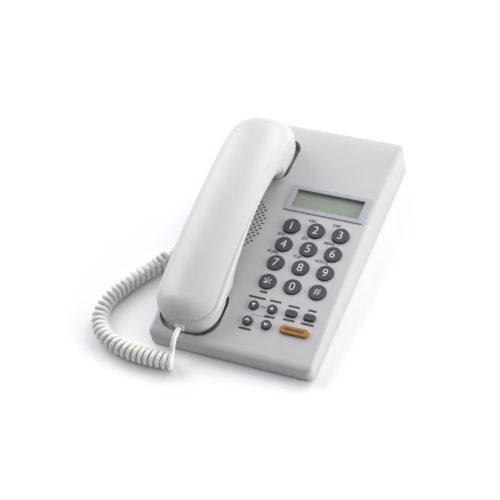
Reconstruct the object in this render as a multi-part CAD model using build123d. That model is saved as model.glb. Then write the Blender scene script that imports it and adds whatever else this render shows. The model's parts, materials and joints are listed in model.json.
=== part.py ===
from build123d import *
import math
import os

# Corded landline telephone, millimetres. X to the right, Y to the back, Z up.
# The origin is at the middle of the base's footprint, on the table.

# ---------------------------------------------------------------- driving dimensions
BASE_W = 142.0            # base width
BASE_D = 242.0            # base depth
FOOT_PROUD = 1.0          # how far the feet lift the housing
WALL = 2.4                # housing wall
FRONT_Z = 13.6            # panel height at the front wall, before its roll-over
MIDDLE_Z = 27.0           # panel height at mid depth
BACK_Z = 27.6             # panel height at the back wall, before its roll-over
FRONT_ROLL_R = 10.0       # front roll-over of the panel
FRONT_ROLL_LEN = 6.0
BACK_ROLL_R = 30.0        # back roll-over of the panel
BACK_ROLL_LEN = 21.0
FRONT_CORNER_R = 6.0      # corners of the footprint
BACK_CORNER_R = 14.0
TOP_EDGE_R = 3.2          # small radius all round the top
SEAM_FRONT_Z = 2.8        # height of the housing seam at the front and the back
SEAM_BACK_Z = 8.0
LOWER_INSET = 0.35        # the lower shell sits in from the upper one, which shows the seam

HANDSET_X = -41.2         # centre line of the handset
HANDSET_W = 56.0
HANDSET_FRONT_Y = -112.2
HANDSET_BACK_Y = 95.0
HANDSET_WALL = 2.2
HANDSET_END_R = 17.0      # corners of the handset seen from above
CUP_W = 50.0              # ear and mouth cups, narrower than the handset
EAR_CUP_R = 10.5
MOUTH_CUP_R = 17.0
EAR_Y = (49.6, 91.5)
MOUTH_Y = (-110.0, -68.5)
EAR_FACE_Z = 16.5
MOUTH_FACE_Z = 10.0
WELL_GAP = 1.6            # gap between a cup and its well
WELL_FLOOR_GAP = 0.6
EAR_WELL_R = 12.0
MOUTH_WELL_R = 18.0

COLUMN_X = (9.3, 30.7, 52.1)              # dial key columns
ROW_Y = (3.1, -15.6, -34.2, -52.8)        # dial key rows, back to front
DIAL_KEY_R = 7.1
SMALL_KEY_R = 4.0
SOFT_KEY_SIZE = (9.4, 6.0)
SPEAKER_KEY_SIZE = (24.0, 7.0)
KEY_PROUD = 2.6           # key top above the panel
KEY_TRAVEL = 1.2
KEY_CLEARANCE = 0.3

LCD_CENTRE = (30.2, 32.7)
BEZEL_SIZE = (69.6, 27.4)
WINDOW_SIZE = (60.0, 19.2)

COIL_D = 14.4             # curly cord: outside diameter of the coil and of its wire
WIRE_D = 4.2
COIL_POINTS = [(-41.0, -137.5), (-62.0, -139.0), (-86.0, -137.2), (-107.0, -130.0), (-119.5, -115.5),
               (-121.0, -96.0), (-112.5, -76.5), (-101.5, -58.5), (-92.0, -43.8), (-88.4, -31.0)]
COIL_Z = COIL_D / 2 + 0.1
HANDSET_LEAD = [(-42.6, -115.2, 22.3), (-42.6, -122.6, 22.3), (-42.6, -129.4, 18.4), (-42.0, -133.0, 13.0),
                (-41.4, -139.0, 12.4)]
BASE_LEAD = [(-88.4, -32.0, 7.6), (-87.8, -23.2, 8.0), (-84.2, -17.2, 9.0), (-78.5, -14.0, 10.0),
             (-72.0, -14.0, 10.0)]
BASE_JACK_Y = -14.0
BASE_JACK_Z = 10.0
HANDSET_JACK_X = -42.6
HANDSET_JACK_Z = 22.3

FRONT_Y = -BASE_D / 2
BACK_Y = BASE_D / 2


# ---------------------------------------------------------------- panel surface
def circle_through(p, q, r):
    """Centre and radius of the circle through three (y, z) points."""
    (ax, ay), (bx, by), (cx, cy) = p, q, r
    d = 2 * (ax * (by - cy) + bx * (cy - ay) + cx * (ay - by))
    ux = ((ax**2 + ay**2) * (by - cy) + (bx**2 + by**2) * (cy - ay) + (cx**2 + cy**2) * (ay - by)) / d
    uy = ((ax**2 + ay**2) * (cx - bx) + (bx**2 + by**2) * (ax - cx) + (cx**2 + cy**2) * (bx - ax)) / d
    return ux, uy, math.hypot(ax - ux, ay - uy)


PANEL_Y, PANEL_CZ, PANEL_R = circle_through((FRONT_Y, FRONT_Z), (0.0, MIDDLE_Z), (BACK_Y, BACK_Z))


def panel_z(y):
    """Height of the panel at a place along the depth."""
    return PANEL_CZ + math.sqrt(PANEL_R**2 - (y - PANEL_Y) ** 2)


def panel_slope(y):
    """Slope of the panel, in degrees, positive where it rises to the back."""
    return -math.degrees(math.asin((y - PANEL_Y) / PANEL_R))


def polar(cy, cz, radius, angle):
    """Point at an angle from the vertical, positive to the back."""
    return (cy + radius * math.sin(angle), cz + radius * math.cos(angle))


def side_profile(inset):
    """Closed side profile of the base, moved in by inset under the panel."""
    front = math.asin((FRONT_Y + FRONT_ROLL_LEN - PANEL_Y) / PANEL_R)
    back = math.asin((BACK_Y - BACK_ROLL_LEN - PANEL_Y) / PANEL_R)
    front_c = polar(PANEL_Y, PANEL_CZ, PANEL_R - FRONT_ROLL_R, front)
    back_c = polar(PANEL_Y, PANEL_CZ, PANEL_R - BACK_ROLL_R, back)
    front_end = math.radians(-60)
    back_end = math.radians(60)
    r_front, r_back, r_panel = FRONT_ROLL_R - inset, BACK_ROLL_R - inset, PANEL_R - inset
    f1 = polar(*front_c, r_front, front)
    fm = polar(*front_c, r_front, (front + front_end) / 2)
    f0 = polar(*front_c, r_front, front_end)
    b0 = polar(*back_c, r_back, back)
    bm = polar(*back_c, r_back, (back + back_end) / 2)
    b1 = polar(*back_c, r_back, back_end)
    low = -20.0
    with BuildSketch(Plane.YZ) as sketch:
        with BuildLine():
            ThreePointArc(f0, fm, f1)
            ThreePointArc(f1, polar(PANEL_Y, PANEL_CZ, r_panel, (front + back) / 2), b0)
            ThreePointArc(b0, bm, b1)
            Polyline(b1, (b1[0], low), (f0[0], low), f0)
        make_face()
    return sketch.sketch


def footprint(inset):
    """Rounded outline of the base, moved in by inset."""
    outline = Rectangle(BASE_W - 2 * inset, BASE_D - 2 * inset)
    ordered = outline.vertices().sort_by(Axis.Y)
    outline = fillet(ordered[:2], FRONT_CORNER_R - inset)
    return fillet(outline.vertices().sort_by(Axis.Y)[-2:], BACK_CORNER_R - inset)


def upright(inset, bottom):
    """Tall block on the base's outline, moved in by inset, from a height up."""
    return Pos(0, 0, bottom) * extrude(footprint(inset), amount=60)


def base_solid(inset, bottom):
    """Base shape moved in by inset from its walls and panel, down to a height."""
    return upright(inset, bottom) & extrude(side_profile(inset), amount=BASE_W, both=True)


def rounded_box(x_range, y_range, z_range, radius):
    """Box with rounded upright corners."""
    w, d = x_range[1] - x_range[0], y_range[1] - y_range[0]
    place = Pos((x_range[0] + x_range[1]) / 2, (y_range[0] + y_range[1]) / 2, z_range[0])
    return place * extrude(RectangleRounded(w, d, radius), amount=z_range[1] - z_range[0])


def block(x_range, y_range, z_range):
    """Plain box between two corners."""
    size = [r[1] - r[0] for r in (x_range, y_range, z_range)]
    middle = [(r[0] + r[1]) / 2 for r in (x_range, y_range, z_range)]
    return Pos(*middle) * Box(*size)


def post(x, y, radius, z_low, z_high):
    """Upright cylinder between two heights."""
    return Pos(x, y, (z_low + z_high) / 2) * Cylinder(radius, z_high - z_low)


def below_seam(lift=0.0):
    """Everything below the seam plane between the two housing shells."""
    rise = (SEAM_BACK_Z - SEAM_FRONT_Z) / BASE_D
    z_at = lambda y: SEAM_FRONT_Z + rise * (y - FRONT_Y) + lift
    with BuildSketch(Plane.YZ) as sketch:
        with BuildLine():
            Polyline((-200, -5), (200, -5), (200, z_at(200)), (-200, z_at(-200)), close=True)
        make_face()
    return extrude(sketch.sketch, amount=200, both=True)


# ---------------------------------------------------------------- keypad frame
KEY_TILT = math.degrees(math.atan2(panel_z(ROW_Y[0]) - panel_z(-90.9), ROW_Y[0] + 90.9))
KEYPAD_Y = -46.0
KEYPAD_Z = (panel_z(ROW_Y[0]) + panel_z(-90.9)) / 2 + math.tan(math.radians(KEY_TILT)) * (
    KEYPAD_Y - (ROW_Y[0] - 90.9) / 2
)
KEYPAD = Pos(0, KEYPAD_Y, KEYPAD_Z) * Rot(X=KEY_TILT)     # frame of the keys, tilted like the panel
FLANGE_TOP = -3.3
FLANGE_BOTTOM = -4.3
DOME_TOP = FLANGE_BOTTOM - KEY_TRAVEL - 0.15
MEMBRANE = (-8.0, -6.8)
BOARD_TOP = -8.05
BOARD_T = 1.6


def keypad_y(y):
    """Distance along the tilted keypad frame for a place along the depth."""
    return (y - KEYPAD_Y) / math.cos(math.radians(KEY_TILT))


def key_outline(shape, grow):
    """Outline of a key's cap, grown by a clearance."""
    if shape == "dial":
        return Circle(DIAL_KEY_R + grow)
    if shape == "small":
        return Circle(SMALL_KEY_R + grow)
    if shape == "soft":
        return RectangleRounded(SOFT_KEY_SIZE[0] + 2 * grow, SOFT_KEY_SIZE[1] + 2 * grow, 2.2 + grow)
    return RectangleRounded(SPEAKER_KEY_SIZE[0] + 2 * grow, SPEAKER_KEY_SIZE[1] + 2 * grow,
                            SPEAKER_KEY_SIZE[1] / 2 + grow - 0.01)


DIAL_NAMES = (("1", "2", "3"), ("4", "5", "6"), ("7", "8", "9"), ("star", "0", "hash"))
KEYS = {}
for row, names in enumerate(DIAL_NAMES):
    for column, name in enumerate(names):
        KEYS["key_" + name] = ("dial", COLUMN_X[column], ROW_Y[row])
KEYS["scroll_down_key"] = ("small", 6.3, -76.3)
KEYS["scroll_up_key"] = ("small", 22.2, -76.3)
KEYS["volume_key"] = ("small", 6.5, -90.9)
KEYS["mute_key"] = ("small", 22.5, -90.9)
KEYS["flash_key"] = ("soft", 38.4, -76.3)
KEYS["redial_key"] = ("soft", 54.0, -76.3)
KEYS["speakerphone_key"] = ("speaker", 46.4, -91.0)


def key_cap(shape, x, y):
    """Keycap with its flange and stem, in the housing frame."""
    rim = 0.9
    height = KEY_PROUD - FLANGE_BOTTOM
    cap = Pos(0, 0, FLANGE_BOTTOM) * extrude(key_outline(shape, 0), amount=height)
    cap = fillet(cap.faces().sort_by(Axis.Z)[-1].edges(), 0.8)
    flange = Pos(0, 0, FLANGE_BOTTOM) * extrude(key_outline(shape, rim), amount=FLANGE_TOP - FLANGE_BOTTOM)
    return KEYPAD * Pos(x, keypad_y(y), 0) * (cap + flange)


def keypad_membrane():
    """Silicone sheet with a low dome under each key."""
    low, high = MEMBRANE
    y_low, y_high = keypad_y(-100.0), keypad_y(12.5)
    sheet = Pos(28.4, (y_low + y_high) / 2, low) * extrude(
        RectangleRounded(70.0, y_high - y_low, 3.0), amount=high - low)
    for shape, x, y in KEYS.values():
        radius = 3.0 if shape == "dial" else 2.4
        sheet += Pos(x, keypad_y(y), high) * Cone(radius + 0.8, radius, DOME_TOP - high,
                                                  align=(Align.CENTER, Align.CENTER, Align.MIN))
    return KEYPAD * sheet


def keypad_board():
    """Board under the membrane, with its row of switch tracks left plain."""
    y_low, y_high = keypad_y(-101.0), keypad_y(13.5)
    board = Pos(28.4, (y_low + y_high) / 2, BOARD_TOP - BOARD_T) * extrude(
        RectangleRounded(72.0, y_high - y_low, 2.0), amount=BOARD_T)
    return KEYPAD * board


# ---------------------------------------------------------------- display
LCD_TILT = panel_slope(LCD_CENTRE[1])
LCD_FRAME = Pos(LCD_CENTRE[0], LCD_CENTRE[1], panel_z(LCD_CENTRE[1])) * Rot(X=LCD_TILT)
BEZEL_PROUD = 1.1
LENS_TOP = -1.0
LENS_T = 1.2
GLASS_TOP = -2.9
GLASS_T = 2.2


def slab(size, low, high, radius):
    """Rounded slab in the display frame."""
    return Pos(0, 0, low) * extrude(RectangleRounded(size[0], size[1], radius), amount=high - low)


def lcd_bezel():
    """Raised frame round the window, with a lower collar that locates it in the housing."""
    collar = (BEZEL_SIZE[0] - 3.2, BEZEL_SIZE[1] - 3.2)
    frame = slab(BEZEL_SIZE, 0.12, BEZEL_PROUD, 1.2)
    frame = chamfer(frame.faces().sort_by(Axis.Z)[-1].edges(), 0.45)
    frame += slab(collar, LENS_TOP - LENS_T - 0.2, 0.12, 0.8)
    frame -= slab(WINDOW_SIZE, -6, 6, 0.6)
    frame -= slab((WINDOW_SIZE[0] + 2.4, WINDOW_SIZE[1] + 2.4), -6, LENS_TOP, 0.6)
    return LCD_FRAME * frame


def lcd_window():
    """Clear lens held under the bezel's edge."""
    return LCD_FRAME * slab((WINDOW_SIZE[0] + 2.2, WINDOW_SIZE[1] + 2.2), LENS_TOP - LENS_T, LENS_TOP, 0.5)


def lcd_display():
    """Glass of the display."""
    return LCD_FRAME * slab((WINDOW_SIZE[0] + 2.2, WINDOW_SIZE[1] + 2.2), GLASS_TOP - GLASS_T, GLASS_TOP, 0.4)


def lcd_board():
    """Small board behind the display."""
    return LCD_FRAME * slab((67.0, 25.0), GLASS_TOP - GLASS_T - 1.4, GLASS_TOP - GLASS_T - 0.05, 0.6)


# ---------------------------------------------------------------- housing shells
BOSSES = [(60.0, -109.0), (-3.0, -110.0), (-60.0, -58.0), (60.0, 106.0), (-58.0, 108.0)]
BOSS_SEAT_Z = 6.2         # where the two shells' screw columns meet
SCREW_TIP_Z = 10.4
FEET = [(-54.0, -104.0), (54.0, -98.0), (-46.0, 98.0), (50.0, 98.0)]
FOOT_R = 5.0
FOOT_RECESS = 1.2
GRILLE_CENTRE = (-38.0, -2.0)
GRILLE_HALF = (23.0, 28.0)
SLOT = (2.8, 1.6)
SLOT_PITCH = (4.8, 2.7)
SPEAKER_R = 22.0
PLUNGER_XY = (-38.0, 60.0)
PLUNGER_SIZE = (9.0, 6.0)
WELL_X = (HANDSET_X - CUP_W / 2 - WELL_GAP, HANDSET_X + CUP_W / 2 + WELL_GAP)
EAR_WELL = (WELL_X, (EAR_Y[0] - 2.2, EAR_Y[1] + 5.0), EAR_FACE_Z - WELL_FLOOR_GAP, EAR_WELL_R)
MOUTH_WELL = (WELL_X, (MOUTH_Y[0] - 3.8, MOUTH_Y[1] + 4.2), MOUTH_FACE_Z - WELL_FLOOR_GAP, MOUTH_WELL_R)
WELL_WALL = 1.8


def grille_cutter():
    """Staggered rows of short slots inside an oval."""
    rows = int(GRILLE_HALF[1] / SLOT_PITCH[1])
    columns = int(GRILLE_HALF[0] / SLOT_PITCH[0]) + 1
    places = []
    for r in range(-rows, rows + 1):
        for c in range(-columns, columns + 1):
            x = (c + 0.5 * (r % 2)) * SLOT_PITCH[0]
            y = r * SLOT_PITCH[1]
            if abs(x / GRILLE_HALF[0]) ** 2.5 + abs(y / GRILLE_HALF[1]) ** 2.5 < 0.94:
                places.append((x, y))
    slots = Sketch() + [Pos(x, y) * SlotOverall(*SLOT) for x, y in places]
    return Pos(*GRILLE_CENTRE, 20) * extrude(slots, amount=12)


def top_housing():
    """Upper shell: panel, walls, cradle wells, screw columns and every opening."""
    outer = base_solid(0, FOOT_PROUD)
    rim = [e for e in outer.edges()
           if e.center().Z > 5 and abs((e % 0.5).Z) < 0.9
           and not (abs(e.center().X) < 1 and abs(e.center().Y) < BACK_Y - 0.5)]
    outer = fillet(rim, TOP_EDGE_R)
    cavity = base_solid(WALL, -10)
    shell = outer - cavity
    for x_range, y_range, floor, radius in (EAR_WELL, MOUTH_WELL):
        grown = [(r[0] - WELL_WALL, r[1] + WELL_WALL) for r in (x_range, y_range)]
        shell += rounded_box(grown[0], grown[1], (floor - WELL_WALL, 50), radius + WELL_WALL) & outer
    columns = Part() + [post(x, y, 3.6, BOSS_SEAT_Z, 40) for x, y in BOSSES]
    shell += columns & outer
    for x_range, y_range, floor, radius in (EAR_WELL, MOUTH_WELL):
        shell -= rounded_box(x_range, y_range, (floor, 60), radius)
    shell -= below_seam()
    for x, y in BOSSES:
        shell -= post(x, y, 1.5, 0, SCREW_TIP_Z + 0.6)
    for shape, x, y in KEYS.values():
        hole = Pos(x, keypad_y(y), -6) * extrude(key_outline(shape, KEY_CLEARANCE), amount=12)
        shell -= KEYPAD * hole
    shell -= LCD_FRAME * slab((BEZEL_SIZE[0] - 2.6, BEZEL_SIZE[1] - 2.6), -8, 8, 1.0)
    shell -= grille_cutter()
    px, py = PLUNGER_XY
    shell -= block((px - PLUNGER_SIZE[0] / 2 - 0.4, px + PLUNGER_SIZE[0] / 2 + 0.4),
                   (py - PLUNGER_SIZE[1] / 2 - 0.4, py + PLUNGER_SIZE[1] / 2 + 0.4), (8, 30))
    shell -= jack_hole()
    shell -= line_jack_hole()
    shell -= ringer_hole()
    return shell


def bottom_housing():
    """Lower shell: floor, low walls with a locating lip, screw columns and foot recesses."""
    floor_z = FOOT_PROUD + WALL
    body = upright(LOWER_INSET, FOOT_PROUD) & below_seam()
    shell = body - upright(WALL, floor_z)
    lip = (upright(WALL + 0.12, floor_z - 0.3) - upright(WALL + 1.2, floor_z - 0.4)) & below_seam(1.6)
    for x_range, y_range, floor, _ in (EAR_WELL, MOUTH_WELL):
        grown = [(r[0] - WELL_WALL - 0.4, r[1] + WELL_WALL + 0.4) for r in (x_range, y_range)]
        lip -= block(grown[0], grown[1], (floor - WELL_WALL - 0.4, 40))
    lip -= block((-80, -55), (BASE_JACK_Y - 8, BASE_JACK_Y + 8), (floor_z, 30))
    lip -= block((20, 48), (100, 130), (floor_z, 30))
    lip -= Part() + [post(x, y, 4.2, 0, 30) for x, y in BOSSES]
    shell += lip
    shell += Part() + [post(x, y, 4.6, FOOT_PROUD + 0.5, BOSS_SEAT_Z) for x, y in BOSSES]
    for x, y in BOSSES:
        shell -= post(x, y, 3.3, 0, 4.2)
        shell -= post(x, y, 1.6, 0, 20)
    shell -= line_jack_hole()
    for x, y in FEET:
        shell += post(x, y, FOOT_R + 1.5, FOOT_PROUD, FOOT_PROUD + FOOT_RECESS + 1.6)
        shell -= post(x, y, FOOT_R + 0.05, 0, FOOT_PROUD + FOOT_RECESS)
    vents = Sketch() + [Pos(14 + 6 * i, -30) * SlotOverall(36, 2.2, rotation=90) for i in range(7)]
    shell -= extrude(vents, amount=6)
    return shell


def housing_screws():
    """Five pan-head screws that hold the two shells together."""
    screws = [post(x, y, 2.8, 2.4, 4.2) + post(x, y, 1.4, 4.2, SCREW_TIP_Z) - post(x, y, 0.9, 2.4, 3.4)
              for x, y in BOSSES]
    return Compound(children=screws)


def rubber_feet():
    """Four round feet pressed into their recesses."""
    return Compound(children=[post(x, y, FOOT_R, 0, FOOT_PROUD + FOOT_RECESS) for x, y in FEET])


# ---------------------------------------------------------------- sockets and electronics
JACK_W = 12.6             # modular handset socket
JACK_H = 9.4
JACK_DEPTH = 13.0
PLUG_W = 7.6              # modular handset plug
PLUG_H = 5.8
PLUG_LEN = 12.0
PLUG_GAP = 0.12
LINE_JACK_X = 34.0
LINE_JACK_Z = 11.4
LINE_JACK = (15.0, 16.0, 12.6)
LINE_MOUTH = (11.8, 12.0, 8.0)
RINGER_X = -8.0
RINGER_Z = 13.5
WALL_X = -BASE_W / 2


def jack_hole():
    """Opening in the left wall for the handset socket."""
    return block((WALL_X - 1, WALL_X + WALL + 1),
                 (BASE_JACK_Y - JACK_W / 2 - 0.1, BASE_JACK_Y + JACK_W / 2 + 0.1),
                 (BASE_JACK_Z - JACK_H / 2 - 0.1, BASE_JACK_Z + JACK_H / 2 + 0.1))


def handset_jack():
    """Modular socket in the base's left wall."""
    body = block((WALL_X + 0.3, WALL_X + 0.3 + JACK_DEPTH),
                 (BASE_JACK_Y - JACK_W / 2, BASE_JACK_Y + JACK_W / 2),
                 (BASE_JACK_Z - JACK_H / 2, BASE_JACK_Z + JACK_H / 2))
    return body - block((WALL_X - 1, WALL_X + 0.4 + PLUG_LEN - 0.6),
                        (BASE_JACK_Y - PLUG_W / 2 - PLUG_GAP, BASE_JACK_Y + PLUG_W / 2 + PLUG_GAP),
                        (BASE_JACK_Z - PLUG_H / 2 - PLUG_GAP, BASE_JACK_Z + PLUG_H / 2 + PLUG_GAP))


def modular_plug(length):
    """Plug pointing along +X with its tip at the origin and its latch on top."""
    body = block((-length, 0), (-PLUG_W / 2, PLUG_W / 2), (-PLUG_H / 2, PLUG_H / 2))
    body = chamfer(body.edges().filter_by(Axis.X), 0.5)
    latch = block((-9.0, -1.5), (-1.6, 1.6), (PLUG_H / 2 - 1.3, PLUG_H / 2 - 0.6))
    gap = block((-9.6, -1.2), (-2.0, 2.0), (PLUG_H / 2 - 1.3, PLUG_H / 2 + 1))
    return body - gap + latch + block((-2.2, -1.2), (-1.6, 1.6), (PLUG_H / 2 - 2.0, PLUG_H / 2 - 0.7))


def base_plug():
    """Plug of the curly cord in the base."""
    return Pos(WALL_X + PLUG_LEN - 0.6, BASE_JACK_Y, BASE_JACK_Z) * modular_plug(PLUG_LEN + 0.4)


def line_jack_hole():
    """Opening in the back wall for the line socket."""
    w, _, h = LINE_JACK
    return block((LINE_JACK_X - w / 2 - 0.1, LINE_JACK_X + w / 2 + 0.1), (BACK_Y - WALL - 1, BACK_Y + 5),
                 (LINE_JACK_Z - h / 2 - 0.1, LINE_JACK_Z + h / 2 + 0.1))


def line_jack():
    """Six-position modular socket for the line, with its mouth to the back."""
    w, depth, h = LINE_JACK
    mw, md, mh = LINE_MOUTH
    body = block((LINE_JACK_X - w / 2, LINE_JACK_X + w / 2), (BACK_Y - 0.4 - depth, BACK_Y - 0.4),
                 (LINE_JACK_Z - h / 2, LINE_JACK_Z + h / 2))
    body -= block((LINE_JACK_X - mw / 2, LINE_JACK_X + mw / 2), (BACK_Y - 0.4 - md, BACK_Y + 1),
                  (LINE_JACK_Z - mh / 2, LINE_JACK_Z + mh / 2))
    return body - block((LINE_JACK_X - 3.2, LINE_JACK_X + 3.2), (BACK_Y - 0.4 - md, BACK_Y + 1),
                        (LINE_JACK_Z - mh / 2 - 1.6, LINE_JACK_Z))


def ringer_hole():
    """Slot in the back wall for the ringer selector."""
    return block((RINGER_X - 5.0, RINGER_X + 5.0), (BACK_Y - WALL - 1, BACK_Y + 5),
                 (RINGER_Z - 2.2, RINGER_Z + 2.2))


def ringer_switch():
    """Three-position slide knob on the back wall."""
    knob = block((RINGER_X - 2.4, RINGER_X + 2.4), (BACK_Y - 5.6, BACK_Y - 0.2),
                 (RINGER_Z - 1.8, RINGER_Z + 1.8))
    grooves = [block((RINGER_X + dx - 0.25, RINGER_X + dx + 0.25), (BACK_Y - 0.7, BACK_Y),
                     (RINGER_Z - 3, RINGER_Z + 3)) for dx in (-1.4, 0.0, 1.4)]
    return knob - (Part() + grooves)


def ringer_switch_body():
    """Slide switch body behind the knob."""
    return block((RINGER_X - 6.5, RINGER_X + 6.5), (BACK_Y - 11.5, BACK_Y - 5.9),
                 (RINGER_Z - 4.0, RINGER_Z + 4.0))


def main_circuit_board():
    """Board over the floor behind the keypad, which carries the line circuit."""
    z = 4.6 - 0.4
    board = block((-9.0, 64.0), (18.0, 100.0), (z, z + 1.6))
    parts = [post(8, 30, 5.0, z + 1.6, z + 12), post(22, 30, 4.0, z + 1.6, z + 10),
             block((30, 44), (70, 82), (z + 1.6, z + 5)), block((10, 24), (74, 90), (z + 1.6, z + 12)),
             block((50, 60), (60, 84), (z + 1.6, z + 9))]
    return board + (Part() + parts)


def base_loudspeaker():
    """Hands-free loudspeaker under the grille: frame, magnet and cone hollow."""
    x, y = GRILLE_CENTRE
    top = 22.6
    body = post(x, y, SPEAKER_R, top - 2.0, top) + post(x, y, 12.0, top - 12.5, top - 6.0)
    body += Pos(x, y, top - 4.0) * Cone(12.5, SPEAKER_R - 1.5, 4.0)
    return body - Pos(x, y, top - 1.5) * Cone(6.0, SPEAKER_R - 4.0, 3.2)


def hook_plunger():
    """Button in the ear well that the handset holds down."""
    px, py = PLUNGER_XY
    top = EAR_FACE_Z - 0.3
    stem = rounded_box((px - PLUNGER_SIZE[0] / 2, px + PLUNGER_SIZE[0] / 2),
                       (py - PLUNGER_SIZE[1] / 2, py + PLUNGER_SIZE[1] / 2), (8.2, top), 1.5)
    return fillet(stem.faces().sort_by(Axis.Z)[-1].edges(), 0.5)


def hook_switch():
    """Hook switch under the plunger."""
    px, py = PLUNGER_XY
    return block((px - 6.5, px + 6.5), (py - 4.0, py + 4.0), (FOOT_PROUD + WALL, 8.0))


def hands_free_microphone():
    """Electret capsule near the front of the panel."""
    return post(44.0, -109.5, 3.0, 4.0, 8.6)


# ---------------------------------------------------------------- handset
END_MARGIN = 1.2          # the profile runs past both ends of the outline that cuts it
CUP_TOP_Z = (22.4, 29.6)  # the mouth and ear cups widen into the handset above these heights
HANDSET_LOW = HANDSET_FRONT_Y - END_MARGIN
HANDSET_HIGH = HANDSET_BACK_Y + END_MARGIN
TOP_ARCS = [((HANDSET_LOW, 23.0), (-110.0, 34.5), (-97.0, 43.0)),
            ((-97.0, 43.0), (-15.0, 62.3), (66.0, 69.6)),
            ((66.0, 69.6), (86.5, 62.0), (HANDSET_HIGH, 41.0))]
UNDER_ARCS = [((48.6, 28.0), (40.0, 38.4), (24.0, 43.8)),
              ((24.0, 43.8), (-14.0, 44.8), (-46.0, 36.5)),
              ((-46.0, 36.5), (-59.5, 28.5), (-66.5, 17.0))]
SEAM_ARCS = [((-130.0, 18.0), (-41.0, 49.3), (52.0, 58.4)),
             ((52.0, 58.4), (78.0, 52.6), (112.0, 30.0))]


def chain(arcs):
    """Arcs drawn one after another in the active line builder."""
    for arc in arcs:
        ThreePointArc(*arc)


def handset_profile():
    """Side profile of the handset, a face in the YZ plane."""
    with BuildSketch(Plane.YZ) as sketch:
        with BuildLine():
            chain(TOP_ARCS)
            Polyline(TOP_ARCS[-1][-1], (HANDSET_HIGH, 28.0), (EAR_Y[1], EAR_FACE_Z), (EAR_Y[0], EAR_FACE_Z),
                     UNDER_ARCS[0][0])
            chain(UNDER_ARCS)
            Polyline(UNDER_ARCS[-1][-1], (MOUTH_Y[1], MOUTH_FACE_Z), (MOUTH_Y[0], MOUTH_FACE_Z),
                     (HANDSET_LOW, 15.0), TOP_ARCS[0][0])
        make_face()
    return sketch.sketch


def seam_region(side):
    """Half space above (side 1) or below (side -1) the handset's seam."""
    far = 200.0 * side
    start, end = SEAM_ARCS[0][0], SEAM_ARCS[-1][-1]
    with BuildSketch(Plane.YZ) as sketch:
        with BuildLine():
            chain(SEAM_ARCS)
            Polyline(end, (end[0], far), (start[0], far), start)
        make_face()
    return extrude(sketch.sketch, amount=120, both=True)


def handset_solid(inset):
    """Handset shape moved in by inset."""
    profile = handset_profile()
    if inset:
        profile = offset(profile, amount=-inset)
    width = HANDSET_W - 2 * inset
    solid = Pos(HANDSET_X, 0, 0) * extrude(profile, amount=width / 2, both=True)
    y_low, y_high = HANDSET_FRONT_Y + inset, HANDSET_BACK_Y - inset
    plan = rounded_box((HANDSET_X - width / 2, HANDSET_X + width / 2), (y_low, y_high), (0, 90),
                       HANDSET_END_R - inset)
    return solid & plan


def cup_limit(inset):
    """Plan limit of the lower part of the handset, which narrows into the cups."""
    half = CUP_W / 2 - inset
    x_range = (HANDSET_X - half, HANDSET_X + half)
    ear = rounded_box(x_range, (EAR_Y[0] - 1 + inset, EAR_Y[1] + 3 - inset), (0, CUP_TOP_Z[1] + 1),
                      EAR_CUP_R - inset)
    mouth = rounded_box(x_range, (MOUTH_Y[0] - 2 + inset, MOUTH_Y[1] + 3 - inset), (0, CUP_TOP_Z[0] + 1),
                        MOUTH_CUP_R - inset)
    wide = (HANDSET_X - 60, HANDSET_X + 60)
    above = block(wide, (-150, -20), (CUP_TOP_Z[0], 100)) + block(wide, (-20, 150), (CUP_TOP_Z[1], 100))
    return above + ear + mouth


def handset_jack_hole():
    """Mouth of the socket in the handset's front end."""
    return block((HANDSET_JACK_X - JACK_W / 2 - 0.1, HANDSET_JACK_X + JACK_W / 2 + 0.1),
                 (HANDSET_FRONT_Y - 5, HANDSET_FRONT_Y + 15), (HANDSET_JACK_Z - JACK_H / 2 - 0.1,
                                                                HANDSET_JACK_Z + JACK_H / 2 + 0.1))


def handset_lower_shell():
    """Lower shell with the ear and mouth cups and their sound holes."""
    region = seam_region(-1)
    shell = (handset_solid(0) & cup_limit(0)) - (handset_solid(HANDSET_WALL) & cup_limit(HANDSET_WALL))
    shell = shell & region
    x = HANDSET_X
    ear_y = sum(EAR_Y) / 2
    ear_holes = [(x + 5 * math.cos(a), ear_y + 5 * math.sin(a)) for a in [math.tau * i / 6 for i in range(6)]]
    for hx, hy in ear_holes + [(x, ear_y)]:
        shell -= post(hx, hy, 1.1, 10, 21)
    for dx in (-3.0, 0.0, 3.0):
        shell -= post(x + dx, MOUTH_Y[0] + 14, 0.9, 5, 14)
    return shell - handset_jack_hole()


def handset_upper_shell():
    """Upper shell, the arched back of the handset."""
    shell = handset_solid(0) - handset_solid(HANDSET_WALL)
    return (shell & seam_region(1)) - handset_jack_hole()


def handset_socket():
    """Modular socket in the handset's front end."""
    front = HANDSET_FRONT_Y + 0.6
    body = block((HANDSET_JACK_X - JACK_W / 2, HANDSET_JACK_X + JACK_W / 2), (front, front + JACK_DEPTH),
                 (HANDSET_JACK_Z - JACK_H / 2, HANDSET_JACK_Z + JACK_H / 2))
    return body - block((HANDSET_JACK_X - PLUG_W / 2 - PLUG_GAP, HANDSET_JACK_X + PLUG_W / 2 + PLUG_GAP),
                        (front - 1, front + PLUG_LEN - 1.0),
                        (HANDSET_JACK_Z - PLUG_H / 2 - PLUG_GAP, HANDSET_JACK_Z + PLUG_H / 2 + PLUG_GAP))


def handset_plug():
    """Plug of the curly cord in the handset."""
    tip = HANDSET_FRONT_Y + 0.6 + PLUG_LEN - 1.0 - PLUG_GAP
    length = tip - HANDSET_LEAD[0][1]
    return Pos(HANDSET_JACK_X, tip, HANDSET_JACK_Z) * Rot(Z=90) * modular_plug(length)


def receiver_capsule():
    """Receiver in the ear cup."""
    y, z = sum(EAR_Y) / 2, EAR_FACE_Z + HANDSET_WALL
    return post(HANDSET_X, y, 13.0, z, z + 3.0) + post(HANDSET_X, y, 11.0, z + 3.0, z + 8.0)


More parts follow.
